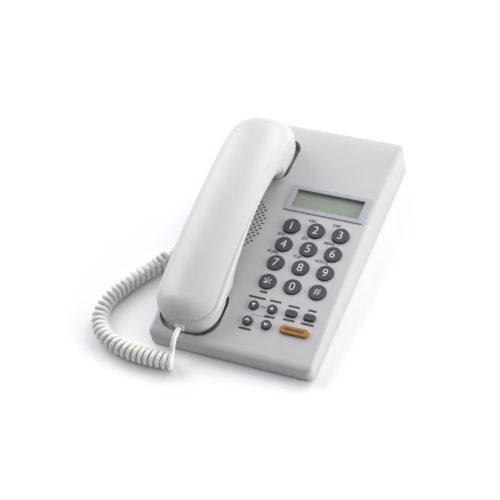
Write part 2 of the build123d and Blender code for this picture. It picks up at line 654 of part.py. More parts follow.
def handset_microphone():
    """Microphone capsule in the mouth cup."""
    z = MOUTH_FACE_Z + HANDSET_WALL
    return post(HANDSET_X, MOUTH_Y[0] + 14, 4.8, z, z + 5.0)


def handset_weight():
    """Steel bar in the handle that gives the handset its heft."""
    tilt = 6.0
    return Pos(HANDSET_X, 4.0, 52.4) * Rot(X=tilt) * Box(24.0, 44.0, 6.0)


def handset_screws():
    """Two screws in the handset's cups, below the seam."""
    places = [(EAR_Y[0] + 5.0, EAR_FACE_Z), (MOUTH_Y[1] - 6.0, MOUTH_FACE_Z)]
    screws = []
    for y, face in places:
        screws.append(post(HANDSET_X, y, 1.4, face + HANDSET_WALL, face + 12) + post(
            HANDSET_X, y, 2.6, face + HANDSET_WALL + 0.05, face + HANDSET_WALL + 1.6))
    return Compound(children=screws)


# ---------------------------------------------------------------- curly cord
def route_radii(points):
    """Radius of each corner of a route: 0.45 of the shorter run over the tangent of half the turn."""
    vectors = [Vector(*p) for p in points]
    radii = []
    for a, b, c in zip(vectors, vectors[1:], vectors[2:]):
        turn = math.radians((b - a).get_angle(c - b))
        radii.append(0.45 * min((b - a).length, (c - b).length) / math.tan(turn / 2))
    return radii


def tube(points, diameter, name):
    """Round tube along straight runs joined by tangent arcs."""
    radii = route_radii(points)
    path = FilletPolyline(*points, radius=radii)
    section = Plane(origin=path @ 0, z_dir=path % 0) * Circle(diameter / 2)
    solid = sweep(section, path=path)
    expected = math.pi * diameter**2 / 4 * path.length
    print(f"{name}: length {path.length:.1f}, radii {[round(r, 1) for r in radii]}, "
          f"volume {solid.volume:.0f} of {expected:.0f}")
    return solid


def cord_coil():
    """Outer shape of the curly cord's coil, as one fat tube."""
    return tube([(x, y, COIL_Z) for x, y in COIL_POINTS], COIL_D, "cord_coil")


def cord_handset_lead():
    """Straight lead between the handset's plug and the coil."""
    return tube(HANDSET_LEAD, WIRE_D, "cord_handset_lead")


def cord_base_lead():
    """Straight lead between the coil and the base's plug."""
    return tube(BASE_LEAD, WIRE_D, "cord_base_lead")


# ---------------------------------------------------------------- output
NODES = {
    "top_housing": top_housing,
    "bottom_housing": bottom_housing,
    "housing_screws": housing_screws,
    "rubber_feet": rubber_feet,
    "lcd_bezel": lcd_bezel,
    "lcd_window": lcd_window,
    "lcd_display": lcd_display,
    "lcd_board": lcd_board,
    "keypad_membrane": keypad_membrane,
    "keypad_board": keypad_board,
    "main_circuit_board": main_circuit_board,
    "base_loudspeaker": base_loudspeaker,
    "hands_free_microphone": hands_free_microphone,
    "hook_plunger": hook_plunger,
    "hook_switch": hook_switch,
    "handset_jack": handset_jack,
    "line_jack": line_jack,
    "ringer_switch": ringer_switch,
    "ringer_switch_body": ringer_switch_body,
    "handset_upper_shell": handset_upper_shell,
    "handset_lower_shell": handset_lower_shell,
    "handset_socket": handset_socket,
    "receiver_capsule": receiver_capsule,
    "handset_microphone": handset_microphone,
    "handset_weight": handset_weight,
    "handset_screws": handset_screws,
    "cord_coil": cord_coil,
    "cord_handset_lead": cord_handset_lead,
    "cord_base_lead": cord_base_lead,
    "cord_handset_plug": handset_plug,
    "cord_base_plug": base_plug,
}

os.makedirs("parts", exist_ok=True)
for node, make in NODES.items():
    export_step(make(), f"parts/{node}.step")
for node, (shape, x, y) in KEYS.items():
    export_step(key_cap(shape, x, y), f"parts/{node}.step")
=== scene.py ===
import json
import math

import bpy
import numpy as np
from mathutils import Matrix, Vector
from mathutils.bvhtree import BVHTree


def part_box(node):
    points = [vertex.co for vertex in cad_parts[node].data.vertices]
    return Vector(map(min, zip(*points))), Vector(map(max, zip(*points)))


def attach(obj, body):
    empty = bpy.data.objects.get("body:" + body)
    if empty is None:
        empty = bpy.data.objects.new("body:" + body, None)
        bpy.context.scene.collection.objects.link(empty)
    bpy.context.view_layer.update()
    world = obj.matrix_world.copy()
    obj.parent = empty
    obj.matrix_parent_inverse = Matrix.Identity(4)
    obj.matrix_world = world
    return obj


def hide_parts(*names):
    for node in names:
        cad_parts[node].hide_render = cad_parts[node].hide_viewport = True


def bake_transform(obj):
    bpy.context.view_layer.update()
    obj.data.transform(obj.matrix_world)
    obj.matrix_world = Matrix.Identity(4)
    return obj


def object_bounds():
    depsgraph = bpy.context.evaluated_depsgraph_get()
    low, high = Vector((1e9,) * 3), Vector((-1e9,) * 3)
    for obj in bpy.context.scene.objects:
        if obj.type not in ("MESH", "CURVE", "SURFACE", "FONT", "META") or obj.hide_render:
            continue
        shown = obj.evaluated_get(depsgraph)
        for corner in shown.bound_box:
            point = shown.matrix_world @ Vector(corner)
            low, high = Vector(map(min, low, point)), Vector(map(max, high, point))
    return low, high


MM = 0.001

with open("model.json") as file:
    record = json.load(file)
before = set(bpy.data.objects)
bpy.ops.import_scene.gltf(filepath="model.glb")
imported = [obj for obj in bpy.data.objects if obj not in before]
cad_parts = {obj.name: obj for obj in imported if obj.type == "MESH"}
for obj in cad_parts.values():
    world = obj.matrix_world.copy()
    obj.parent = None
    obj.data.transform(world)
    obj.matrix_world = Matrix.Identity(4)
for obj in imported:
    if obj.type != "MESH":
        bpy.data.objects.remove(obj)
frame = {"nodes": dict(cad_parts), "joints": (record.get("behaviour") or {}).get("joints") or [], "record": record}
nodes = frame["nodes"]
cad_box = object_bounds()


# ---------------------------------------------------------------- camera
CAMERA_PLACE = Vector((0.3722, -0.6311, 0.8513))
CAMERA_RIGHT = Vector((0.9138, 0.3750, -0.1558))
CAMERA_UP = Vector((-0.1972, 0.7451, 0.6372))
CAMERA_LENS = 96.14       # millimetres, on a 36 mm sensor


def make_camera():
    """Camera that looks down at the phone from its front right."""
    data = bpy.data.cameras.new("camera")
    data.lens = CAMERA_LENS
    data.sensor_width = 36.0
    camera = bpy.data.objects.new("camera", data)
    right = CAMERA_RIGHT.normalized()
    back = right.cross(CAMERA_UP).normalized()
    up = back.cross(right)
    turn = Matrix((right, up, back)).transposed().to_4x4()
    camera.matrix_world = Matrix.Translation(CAMERA_PLACE) @ turn
    bpy.context.scene.collection.objects.link(camera)
    bpy.context.scene.camera = camera


# ---------------------------------------------------------------- materials
def new_material(name):
    """Empty node material and its shader."""
    material = bpy.data.materials.new(name)
    material.use_nodes = True
    return material, material.node_tree, material.node_tree.nodes["Principled BSDF"]


def noise(tree, scale):
    """Noise over the object's own coordinates, so many features per metre."""
    coordinates = tree.nodes.new("ShaderNodeTexCoord")
    texture = tree.nodes.new("ShaderNodeTexNoise")
    texture.inputs["Scale"].default_value = scale
    texture.inputs["Detail"].default_value = 3.0
    texture.inputs["Roughness"].default_value = 0.55
    tree.links.new(coordinates.outputs["Object"], texture.inputs["Vector"])
    return texture


def vary_colour(tree, shader, texture, low, high):
    """Base colour that drifts between two shades."""
    ramp = tree.nodes.new("ShaderNodeValToRGB")
    ramp.color_ramp.elements[0].position = 0.32
    ramp.color_ramp.elements[1].position = 0.68
    ramp.color_ramp.elements[0].color = (*low, 1)
    ramp.color_ramp.elements[1].color = (*high, 1)
    tree.links.new(texture.outputs["Fac"], ramp.inputs["Fac"])
    tree.links.new(ramp.outputs["Color"], shader.inputs["Base Color"])


def vary_roughness(tree, shader, texture, low, high):
    """Roughness that drifts between two values."""
    span = tree.nodes.new("ShaderNodeMapRange")
    span.inputs["To Min"].default_value = low
    span.inputs["To Max"].default_value = high
    tree.links.new(texture.outputs["Fac"], span.inputs["Value"])
    tree.links.new(span.outputs["Result"], shader.inputs["Roughness"])


def add_bump(tree, shader, texture, height):
    """Relief of a texture, of a real height in metres."""
    bump = tree.nodes.new("ShaderNodeBump")
    bump.inputs["Strength"].default_value = 1.0
    bump.inputs["Distance"].default_value = height
    tree.links.new(texture.outputs["Fac"], bump.inputs["Height"])
    tree.links.new(bump.outputs["Normal"], shader.inputs["Normal"])


def moulded_plastic(name, low, high, rough, grain, height, specular=0.5):
    """Moulded plastic with a fine grain, slow drift of shade and uneven gloss."""
    material, tree, shader = new_material(name)
    vary_colour(tree, shader, noise(tree, 60.0), low, high)
    vary_roughness(tree, shader, noise(tree, 350.0), *rough)
    add_bump(tree, shader, noise(tree, grain), height)
    shader.inputs["Specular IOR Level"].default_value = specular
    return material


def clear_plastic(name, tint, alpha, rough):
    """Thin clear plastic that lets most light through and keeps its gloss."""
    material, tree, shader = new_material(name)
    vary_colour(tree, shader, noise(tree, 80.0), tint, [min(1.0, c * 1.04) for c in tint])
    vary_roughness(tree, shader, noise(tree, 500.0), rough, rough + 0.05)
    add_bump(tree, shader, noise(tree, 1200.0), 0.000002)
    shader.inputs["Alpha"].default_value = alpha
    return material


def lcd_glass():
    """Reflective grey-green display with the faint cells of its character rows."""
    material, tree, shader = new_material("lcd_glass")
    coordinates = tree.nodes.new("ShaderNodeTexCoord")
    cells = tree.nodes.new("ShaderNodeTexBrick")
    cells.offset = 0.0
    cells.inputs["Scale"].default_value = 1.0
    cells.inputs["Brick Width"].default_value = 0.0033
    cells.inputs["Row Height"].default_value = 0.0068
    cells.inputs["Mortar Size"].default_value = 0.00022
    cells.inputs["Mortar Smooth"].default_value = 0.3
    cells.inputs["Color1"].default_value = (0.150, 0.183, 0.124, 1)
    cells.inputs["Color2"].default_value = (0.152, 0.185, 0.126, 1)
    cells.inputs["Mortar"].default_value = (0.158, 0.192, 0.131, 1)
    tree.links.new(coordinates.outputs["Object"], cells.inputs["Vector"])
    tree.links.new(cells.outputs["Color"], shader.inputs["Base Color"])
    vary_roughness(tree, shader, noise(tree, 300.0), 0.28, 0.36)
    add_bump(tree, shader, noise(tree, 2500.0), 0.000002)
    return material


def circuit_board():
    """Green solder mask with lighter tracks under it."""
    material, tree, shader = new_material("circuit_board")
    tracks = tree.nodes.new("ShaderNodeTexVoronoi")
    tracks.distance = "MANHATTAN"
    tracks.feature = "DISTANCE_TO_EDGE"
    tracks.inputs["Scale"].default_value = 260.0
    coordinates = tree.nodes.new("ShaderNodeTexCoord")
    ramp = tree.nodes.new("ShaderNodeValToRGB")
    ramp.color_ramp.elements[0].position = 0.04
    ramp.color_ramp.elements[1].position = 0.09
    ramp.color_ramp.elements[0].color = (0.03, 0.16, 0.06, 1)
    ramp.color_ramp.elements[1].color = (0.012, 0.075, 0.03, 1)
    tree.links.new(coordinates.outputs["Object"], tracks.inputs["Vector"])
    tree.links.new(tracks.outputs["Distance"], ramp.inputs["Fac"])
    tree.links.new(ramp.outputs["Color"], shader.inputs["Base Color"])
    vary_roughness(tree, shader, noise(tree, 400.0), 0.25, 0.4)
    return material


def steel():
    """Zinc-plated steel with fine scratches."""
    material, tree, shader = new_material("steel")
    vary_colour(tree, shader, noise(tree, 900.0), (0.46, 0.46, 0.47), (0.56, 0.56, 0.56))
    vary_roughness(tree, shader, noise(tree, 1500.0), 0.28, 0.45)
    add_bump(tree, shader, noise(tree, 4000.0), 0.000004)
    shader.inputs["Metallic"].default_value = 1.0
    return material


MATERIALS = {
    "white_abs": moulded_plastic("white_abs", (0.455, 0.445, 0.452), (0.47, 0.46, 0.467),
                                 (0.42, 0.50), 2600.0, 0.000012, 0.4),
    "handset_abs": moulded_plastic("handset_abs", (0.53, 0.535, 0.525), (0.545, 0.55, 0.54),
                                   (0.30, 0.36), 1500.0, 0.000003),
    "bezel_grey": moulded_plastic("bezel_grey", (0.36, 0.35, 0.40), (0.375, 0.365, 0.415),
                                  (0.35, 0.42), 2600.0, 0.000006),
    "dark_key": moulded_plastic("dark_key", (0.050, 0.052, 0.058), (0.058, 0.060, 0.067),
                                (0.48, 0.58), 3000.0, 0.000010, 0.3),
    "amber_key": moulded_plastic("amber_key", (0.34, 0.15, 0.030), (0.38, 0.17, 0.036),
                                 (0.46, 0.56), 3000.0, 0.000010, 0.3),
    "silicone": moulded_plastic("silicone", (0.28, 0.28, 0.29), (0.32, 0.32, 0.33),
                                (0.55, 0.65), 1800.0, 0.000010),
    "foot_rubber": moulded_plastic("foot_rubber", (0.02, 0.02, 0.02), (0.035, 0.035, 0.035),
                                   (0.65, 0.8), 2200.0, 0.000030),
    "speaker_cone": moulded_plastic("speaker_cone", (0.012, 0.012, 0.013), (0.025, 0.025, 0.026),
                                    (0.6, 0.75), 1500.0, 0.000040),
    "black_plastic": moulded_plastic("black_plastic", (0.015, 0.015, 0.016), (0.028, 0.028, 0.03),
                                     (0.4, 0.5), 2500.0, 0.000010),
    "jack_plastic": moulded_plastic("jack_plastic", (0.52, 0.51, 0.49), (0.56, 0.55, 0.53),
                                    (0.4, 0.5), 2200.0, 0.000010),
    "cord_jacket": moulded_plastic("cord_jacket", (0.70, 0.69, 0.66), (0.73, 0.72, 0.69),
                                   (0.34, 0.42), 1400.0, 0.000006),
    "clear_lens": clear_plastic("clear_lens", (0.80, 0.82, 0.80), 0.10, 0.04),
    "clear_plug": clear_plastic("clear_plug", (0.80, 0.80, 0.78), 0.45, 0.08),
    "lcd_glass": lcd_glass(),
    "circuit_board": circuit_board(),
    "steel": steel(),
}
PRINT_WHITE = moulded_plastic("print_white", (0.62, 0.62, 0.63), (0.68, 0.68, 0.69),
                              (0.5, 0.6), 4000.0, 0.000002)
PRINT_GREY = moulded_plastic("print_grey", (0.028, 0.028, 0.032), (0.036, 0.036, 0.04),
                             (0.5, 0.6), 4000.0, 0.000002)
PRINT_BROWN = moulded_plastic("print_brown", (0.075, 0.045, 0.022), (0.09, 0.055, 0.028),
                              (0.5, 0.6), 4000.0, 0.000002)


def paint(piece, slot):
    """Gives a piece one of the record's material slots."""
    piece.data.materials.clear()
    piece.data.materials.append(MATERIALS[slot])


def paint_cad():
    """Materials of the CAD nodes, by the slots that the record gives them."""
    for entry in frame["record"]["subparts"]:
        piece = nodes[entry["node"]]
        piece.data.materials.clear()
        piece.data.materials.append(MATERIALS[entry["material_slot"]])


# ---------------------------------------------------------------- small tools
def mesh_piece(name, vertices, faces, smooth=True):
    """New mesh object in the scene."""
    mesh = bpy.data.meshes.new(name)
    mesh.from_pydata([tuple(v) for v in vertices], [], faces)
    mesh.validate()
    piece = bpy.data.objects.new(name, mesh)
    bpy.context.scene.collection.objects.link(piece)
    for polygon in mesh.polygons:
        polygon.use_smooth = smooth
    return piece


def tree_of(piece):
    """Ray-casting tree of a piece's mesh."""
    mesh = piece.data
    return BVHTree.FromPolygons([v.co for v in mesh.vertices], [p.vertices for p in mesh.polygons])


def arc_height(arcs, y):
    """Height at y on a chain of three-point arcs, each given by its (y, z) points."""
    for (ay, az), (by, bz), (cy, cz) in arcs:
        if min(ay, cy) <= y <= max(ay, cy):
            d = 2 * (ay * (bz - cz) + by * (cz - az) + cy * (az - bz))
            squares = [p * p + q * q for p, q in ((ay, az), (by, bz), (cy, cz))]
            oy = (squares[0] * (bz - cz) + squares[1] * (cz - az) + squares[2] * (az - bz)) / d
            oz = (squares[0] * (cy - by) + squares[1] * (ay - cy) + squares[2] * (by - ay)) / d
            radius = math.hypot(ay - oy, az - oz)
            side = 1 if bz > oz else -1
            return oz + side * math.sqrt(max(0.0, radius**2 - (y - oy) ** 2))
    raise ValueError(f"no arc at y = {y}")


def smooth_step(t):
    """Rises from 0 to 1 with level ends."""
    t = min(1.0, max(0.0, t))
    return t * t * (3 - 2 * t)


# ---------------------------------------------------------------- curly cord
WIRE_R = 2.1 * MM
COIL_R = 5.1 * MM         # helix of the wire's own middle line
TURN_PITCH = 5.2 * MM
FADE_TURNS = 2.0          # turns over which the coil runs out into the base's lead
TURN_STEPS = 24
UNEVEN = 0.004            # how far turns slip along the coil, as a share of its length
UNEVEN_WAVES = 23.0       # and how quickly that changes, in radians over its length
WIRE_SIDES = 12
ROUTE_STEP = 0.25 * MM
WIRE_STEP = 0.8 * MM
JOIN_CUT = (4, 3)         # points that the handset lead and the helix lose where they join
BASE_JOIN = 2.0 * MM      # how far past the helix the base's lead takes over
COIL_HEIGHT = 7.3
HANDSET_LEAD = [(-42.6, -115.2, 22.3), (-42.6, -122.6, 22.3), (-42.6, -129.4, 18.4), (-42.0, -133.0, 13.0),
                (-41.4, -139.0, 12.4)]
COIL_ROUTE = [(-41.0, -137.5), (-62.0, -139.0), (-86.0, -137.2), (-107.0, -130.0), (-119.5, -115.5),
              (-121.0, -96.0), (-112.5, -76.5), (-101.5, -58.5), (-92.0, -43.8), (-88.4, -31.0)]
BASE_LEAD = [(-88.4, -32.0, 7.6), (-87.8, -23.2, 8.0), (-84.2, -17.2, 9.0), (-78.5, -14.0, 10.0),
             (-72.0, -14.0, 10.0)]


def route_line(name, points):
    """Points along a smooth NURBS line through a route, given in millimetres."""
    data = bpy.data.curves.new(name, "CURVE")
    data.dimensions = "3D"
    data.resolution_u = 24
    spline = data.splines.new("NURBS")
    spline.points.add(len(points) - 1)
    for point, place in zip(spline.points, points):
        point.co = (*(Vector(place) * MM), 1.0)
    spline.order_u = 3
    spline.use_endpoint_u = True
    curve = bpy.data.objects.new(name, data)
    bpy.context.scene.collection.objects.link(curve)
    mesh = bpy.data.meshes.new_from_object(curve)
    line = [v.co.copy() for v in mesh.vertices]
    bpy.data.objects.remove(curve)
    bpy.data.meshes.remove(mesh)
    return line


def spaced(line, step):
    """The same line with evenly spaced points."""
    points = np.array([tuple(p) for p in line])
    run = np.concatenate([[0], np.cumsum(np.linalg.norm(np.diff(points, axis=0), axis=1))])
    count = max(2, int(round(run[-1] / step)) + 1)
    places = np.linspace(0, run[-1], count)
    return [Vector(p) for p in np.stack([np.interp(places, run, points[:, i]) for i in range(3)], axis=1)]


def frames_along(line):
    """Direction and two upright-held cross axes at each point of a line."""
    result = []
    side = None
    for i, point in enumerate(line):
        ahead = (line[min(i + 1, len(line) - 1)] - line[max(i - 1, 0)]).normalized()
        if side is None:
            side = ahead.cross(Vector((0, 0, 1))).normalized()
        side = (side - ahead * side.dot(ahead)).normalized()
        result.append((point, ahead, side, side.cross(ahead).normalized()))
    return result


def helix_line():
    """Middle line of the coil: it starts on the first turn's top and ends on its own axis."""
    route = [(x, y, COIL_HEIGHT) for x, y in COIL_ROUTE]
    line = spaced(route_line("coil_route", route), ROUTE_STEP)
    stations = frames_along(line)
    length = (len(line) - 1) * ROUTE_STEP
    turns = round(length / TURN_PITCH)
    steps = turns * TURN_STEPS
    helix = []
    for i in range(steps + 1):
        share = i / steps
        place = share + UNEVEN * math.sin(share * UNEVEN_WAVES) * math.sin(math.pi * share)
        point, _, side, up = stations[min(len(stations) - 1, max(0, round(place * (len(stations) - 1))))]
        left = min(1.0, (1 - share) * turns / FADE_TURNS)
        radius = COIL_R * smooth_step(left)
        wound = min(turns * share, turns - FADE_TURNS) + FADE_TURNS * (1 - left**2) / 2
        angle = math.tau * wound + math.pi / 2
        helix.append(point + (side * math.cos(angle) + up * math.sin(angle)) * radius)
    return helix


def tube_piece(name, line, radius, sides):
    """Round tube along a line, closed at both ends."""
    vertices, faces = [], []
    for point, _, side, up in frames_along(line):
        for k in range(sides):
            angle = math.tau * k / sides
            vertices.append(point + (side * math.cos(angle) + up * math.sin(angle)) * radius)
    rings = len(line)
    for i in range(rings - 1):
        for k in range(sides):
            a, b = i * sides + k, i * sides + (k + 1) % sides
            faces.append((a, b, b + sides, a + sides))
    faces.append(tuple(reversed(range(sides))))
    faces.append(tuple((rings - 1) * sides + k for k in range(sides)))
    return mesh_piece(name, vertices, faces)


def curly_cord():
    """The whole cord, from the handset's plug to the base's plug, as one tube."""
    helix = helix_line()
    first = route_line("handset_lead_route", HANDSET_LEAD)
    last = [p for p in route_line("base_lead_route", BASE_LEAD) if p.y > helix[-1].y + BASE_JOIN]
    line = spaced(first[:-JOIN_CUT[0]] + helix[JOIN_CUT[1]:] + last, WIRE_STEP)
    cord = tube_piece("curly_cord", line, WIRE_R, WIRE_SIDES)
    paint(cord, "cord_jacket")
    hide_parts("cord_coil", "cord_handset_lead", "cord_base_lead")
    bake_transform(cord)


# ---------------------------------------------------------------- handset
HANDSET_X = -41.2
HANDSET_Y = (-111.9, 94.4)
HALF_WIDTH = 28.0
WAIST = 1.5               # how far the handle draws in, where, and how far from there it ends
WAIST_Y = 0.0
WAIST_REACH = 75.0
CROWN_INSET = 1.0         # the lower shell stands out under the upper one as a ledge
SHOULDER = 2.2            # and by this much more towards the mouth, between these places
SHOULDER_Y = (10.0, -70.0)
LEDGE_DROP = 1.3          # height of the ledge's rounding
LEDGE_FALL = 0.5          # and more of it for each millimetre of shoulder
LEDGE_LAP = 0.5           # how far the ledge runs in under the upper shell
END_ZONE = (25.0, 30.0)   # length of the rounded front and back ends, seen from above
END_POWER = 2.7
DOME_POWER = 2.4          # over 2, the upper shell's dome is flatter than an ellipse
DOME_FULLNESS = 0.5       # how much fuller its sides get from the mouth end to the ear end
DOME_FULL_Y = (-60.0, 50.0)
DOME_LEAST = 0.4          # least height of the dome, where it runs out at the ends
EDGE_CROWDING = 1.6       # crowds the points of a section towards its two edges
WALL_POWERS = (2.4, 3.0)  # how square the lower shell's section is, across and down
TOP_ARCS = [((-113.4, 23.0), (-109.0, 34.5), (-97.0, 43.0)),
            ((-97.0, 43.0), (-15.0, 62.0), (66.0, 69.2)),
            ((66.0, 69.2), (86.5, 61.8), (96.2, 41.0))]
SEAM_ARCS = [((-130.0, 22.5), (-41.0, 49.8), (52.0, 58.4)),
             ((52.0, 58.4), (78.0, 52.6), (112.0, 30.0))]
UNDER_ARCS = [((48.6, 28.0), (40.0, 38.4), (24.0, 43.8)),
              ((24.0, 43.8), (-14.0, 44.8), (-46.0, 36.5)),
              ((-46.0, 36.5), (-59.5, 28.5), (-66.5, 17.0))]
EAR_Y = (49.6, 91.5)      # ends of the cups' flat faces, and of the cups' sides over them
MOUTH_Y = (-110.0, -68.5)
EAR_CUP_Y = (EAR_Y[0] - 1, EAR_Y[1] + 3)
MOUTH_CUP_Y = (MOUTH_Y[0] - 2, MOUTH_Y[1] + 1)
MIDDLE_Y = -20.0          # parts the mouth cup from the ear cup
EAR_FACE = 16.6
MOUTH_FACE = 10.1
END_FOOT = (15.0, 28.0)   # lowest points of the front and back end faces
CUP_HALF = 24.9
MOUTH_CUP_R = 17.0
EAR_CUP_R = 10.5
CUP_TOP = (25.4, 29.6)    # heights where the mouth and ear cups widen into the handset
CUP_BLEND = (4.0, 3.6)    # how far above that the widening ends, and how tall it is
SHELL_GAP = 0.2           # half of the groove where the two shells meet
SHELL_WALL = 1.6
WELD = 0.02               # points closer than this are one, at the shells' ends
SECTION_STEPS = 56
LEDGE_STEPS = 9
END_STEPS = 44
HANDLE_STEPS = 150
CUP_EDGES_Y = ((-69.5, -62.0), (47.0, 54.0))
CUP_EDGE_STEPS = 24
EAR_HOLES = (1.1, 5.0)    # radius of a sound hole, and of the ring of six round the middle one
MOUTH_HOLES = (0.9, 3.0)  # radius of a sound hole, and their spacing
MOUTH_HOLES_Y = MOUTH_Y[0] + 14.0


def underside(y):
    """Lowest height of the handset at y: straight facets round the cups, arcs under the handle."""
    front, back = UNDER_ARCS[-1][-1], UNDER_ARCS[0][0]
    if front[0] <= y <= back[0]:
        return arc_height(UNDER_ARCS, y)
    facets = [(TOP_ARCS[0][0][0], END_FOOT[0]), (MOUTH_Y[0], MOUTH_FACE), (MOUTH_Y[1], MOUTH_FACE), front,
              back, (EAR_Y[0], EAR_FACE), (EAR_Y[1], EAR_FACE), (TOP_ARCS[-1][-1][0], END_FOOT[1])]
    return float(np.interp(y, *zip(*facets)))


def half_width(y):
    """Half width of the handset at y, a blunt rounded nose at both ends."""
    front = (HANDSET_Y[0] + END_ZONE[0] - y) / END_ZONE[0]
    back = (y - HANDSET_Y[1] + END_ZONE[1]) / END_ZONE[1]
    out = min(1.0, max(0.0, front, back))
    waist = WAIST * math.cos(math.pi / 2 * min(1.0, abs(y - WAIST_Y) / WAIST_REACH)) ** 2
    return HALF_WIDTH * (1 - out**END_POWER) ** (1 / END_POWER) - waist


def cup_half_width(y):
    """Half width at y of the nearer cup, a rounded rectangle seen from above."""
    (low, high), radius = (MOUTH_CUP_Y, MOUTH_CUP_R) if y < MIDDLE_Y else (EAR_CUP_Y, EAR_CUP_R)
    into = min(y - low, high - y)
    if into <= 0:
        return 0.0
    return CUP_HALF - radius + math.sqrt(max(0.0, radius**2 - max(0.0, radius - into) ** 2))


def stations():
    """Places along the handset, closer together towards both ends and round the cups."""
    turn = np.linspace(0, math.pi / 2, END_STEPS)
    front = HANDSET_Y[0] + END_ZONE[0] * (1 - np.sin(turn[::-1]))
    back = HANDSET_Y[1] - END_ZONE[1] * (1 - np.sin(turn))
    middle = np.linspace(HANDSET_Y[0] + END_ZONE[0], HANDSET_Y[1] - END_ZONE[1], HANDLE_STEPS)[1:-1]
    edges = np.concatenate([np.linspace(*ends, CUP_EDGE_STEPS) for ends in CUP_EDGES_Y])
    return sorted([*front, *middle, *back, *edges])


def crown_section(half, seam, top, fullness):
    """Upper shell's section at one place: a dome, with steeper sides as the fullness rises to 1."""
    points = []
    for k in range(SECTION_STEPS + 1):
        across = math.cos(math.pi * k / SECTION_STEPS)
        x = math.copysign(1 - (1 - abs(across)) ** EDGE_CROWDING, across)
        dome = (1 - abs(x) ** DOME_POWER) ** (1 / (1.0 + DOME_FULLNESS * fullness))
        points.append((half * x, seam + (top - seam) * dome))
    return points


def shoulder(y):
    """How far the lower shell stands out at each side of the upper one."""
    into = (SHOULDER_Y[0] - y) / (SHOULDER_Y[0] - SHOULDER_Y[1])
    return CROWN_INSET + SHOULDER * smooth_step(into)


def cradle_section(half, seam, low, y):
    """Lower shell's section at one place: a rounded ledge, and side walls that narrow to its cup."""
    reach = min(half, shoulder(y) + LEDGE_LAP)
    drop = LEDGE_DROP + LEDGE_FALL * (shoulder(y) - CROWN_INSET)
    blend_top = CUP_TOP[0 if y < MIDDLE_Y else 1] + CUP_BLEND[0]
    points = []
    for k in range(LEDGE_STEPS):
        turn = math.pi / 2 * k / LEDGE_STEPS
        points.append((half - reach * (1 - math.sin(turn)), seam - drop * (1 - math.cos(turn))))
    side = seam - drop
    for k in range(SECTION_STEPS + 1):
        angle = math.pi * k / SECTION_STEPS
        c, s = math.cos(angle), math.sin(angle)
        z = side + (low - side) * s ** (2 / WALL_POWERS[1])
        x = half * abs(c) ** (2 / WALL_POWERS[0])
        narrow = smooth_step((blend_top - z) / CUP_BLEND[1])
        x += (min(x, cup_half_width(y)) - x) * narrow
        points.append((math.copysign(x, c), z))
    return points + [(-x, z) for x, z in reversed(points[:LEDGE_STEPS])]


def shell_mesh(name, upper):
    """One of the two handset shells as a skin swept from end to end."""
    vertices, faces = [], []
    rows = stations()
    for y in rows:
        seam = arc_height(SEAM_ARCS, y)
        half = half_width(y)
        if upper:
            fullness = smooth_step((y - DOME_FULL_Y[0]) / (DOME_FULL_Y[1] - DOME_FULL_Y[0]))
            low = seam + SHELL_GAP
            top = max(arc_height(TOP_ARCS, y), low + DOME_LEAST)
            points = crown_section(max(0.0, half - shoulder(y)), low, top, fullness)
        else:
            points = cradle_section(max(0.0, half), seam - SHELL_GAP, underside(y), y)
        vertices += [Vector((HANDSET_X + x, y, z)) * MM for x, z in points]
    width = len(vertices) // len(rows)
    for i in range(len(rows) - 1):
        for k in range(width - 1):
            a = i * width + k
            face = (a, a + 1, a + 1 + width, a + width)
            faces.append(tuple(reversed(face)) if upper else face)
    return mesh_piece(name, vertices, faces)


def handset_shells():
    """Smooth upper and lower shells in place of the plain CAD ones."""
    for name, node, upper in (("handset_crown", "handset_upper_shell", True),
                              ("handset_cradle", "handset_lower_shell", False)):
        shell = shell_mesh(name, upper)
        shell.modifiers.new("closed_ends", "WELD").merge_threshold = WELD * MM
        solid = shell.modifiers.new("thickness", "SOLIDIFY")
        solid.thickness = SHELL_WALL * MM
        solid.offset = -1.0
        paint(shell, "handset_abs")
        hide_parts(node)
        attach(shell, "handset")


# ---------------------------------------------------------------- keys and print
KEY_TOP_FLAT = 0.02 * MM  # corners this close to a key's highest one are on its top face
PRINT_THICKNESS = 0.04 * MM
PRINT_CLEARANCE = 0.03 * MM
DIGITS = {"key_" + d: d for d in "0123456789"}
DIGITS.update({"key_star": "*", "key_hash": "#"})
DIGIT_SIZE = 10.6
SIGN_SIZES = {"*": 16.0, "#": 9.4}
DIGIT_WEIGHT = -0.11      # makes the strokes finer than the font's own
TRIANGLE = [(-1.5, 1.1), (0.0, -1.5), (1.5, 1.1)]
ARROW = [(-1.9, 0.3), (0.0, -1.7), (1.9, 0.3), (1.2, 1.0), (0.0, -0.3), (-1.2, 1.0)]
SPEAKERPHONE_BAR = (17.5, 2.4)
LETTERS = {"key_2": "ABC", "key_3": "DEF", "key_4": "GHI", "key_5": "JKL", "key_6": "MNO",
           "key_7": "PQRS", "key_8": "TUV", "key_9": "WXYZ"}
LETTER_SIZE = 3.9
LETTER_WEIGHT = 0.13
LETTER_PLACE = (-6.6, 1.5)    # from the middle of a key's back edge
BAR_HEIGHT = 1.9
BAR_GAP = 2.3             # from a key's edge to the middle of its bar
# a key, and the widths of the bars over and under it
BARS = [("key_star", 0, 7.0), ("scroll_down_key", 15.0, 0), ("scroll_up_key", 10.2, 9.2),
        ("flash_key", 10.0, 10.2), ("redial_key", 7.4, 11.2), ("volume_key", 0, 10.8)]
# a name, the two keys it lies between, its width, its height, and how far behind them it is
LINES = [("scroll_dash", "scroll_down_key", "scroll_up_key", 4.0, 0.7, 0.0),
         ("volume_line", "volume_key", "mute_key", 15.0, 0.4, 6.3)]


def turned(outline):
    """The same outline, the other way up."""
    return [(-x, -y) for x, y in outline]


def round_points(x, y, radius, count):
    """Evenly spaced points on a circle."""
    angles = [math.tau * k / count for k in range(count)]
    return [(x + radius * math.cos(a), y + radius * math.sin(a)) for a in angles]


